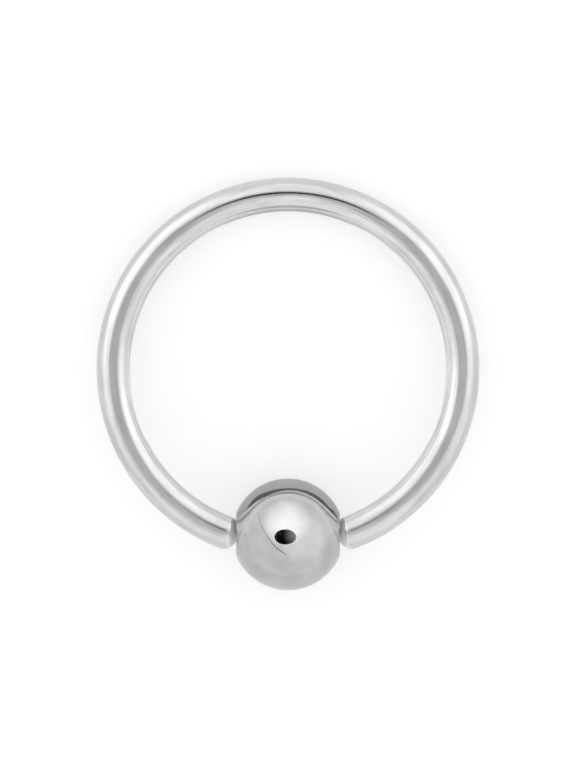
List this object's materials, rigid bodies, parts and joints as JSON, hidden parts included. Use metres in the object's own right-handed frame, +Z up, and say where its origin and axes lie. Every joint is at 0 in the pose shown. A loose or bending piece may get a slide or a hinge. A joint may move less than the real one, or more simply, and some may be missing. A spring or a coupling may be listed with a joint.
{
  "type": "captive bead ring",
  "caption": "Round wire hoop with a gap between its domed tips, closed by a dimpled bead that turns on them; it lies on its side.",
  "frame": {"origin": "middle of the ring's outline seen from above, on the surface that it lies on", "axes": "+Z up; +Y from the bead towards the wire opposite it; +X across the gap, from tip to tip"},
  "size_m": [0.0136, 0.0146, 0.004],
  "materials": {
    "wire_steel": "polished",
    "bead_steel": "polished"
  },
  "bodies": {
    "hoop": {"wire_hoop": "wire_steel"},
    "bead": {"captive_bead": "bead_steel"}
  },
  "joints": [
    {"name": "bead_spin", "type": "hinge", "parent": "hoop", "child": "bead", "pos_m": [0, -0.00534, 0.002], "axis": [1, 0, 0], "continuous": true}
  ]
}
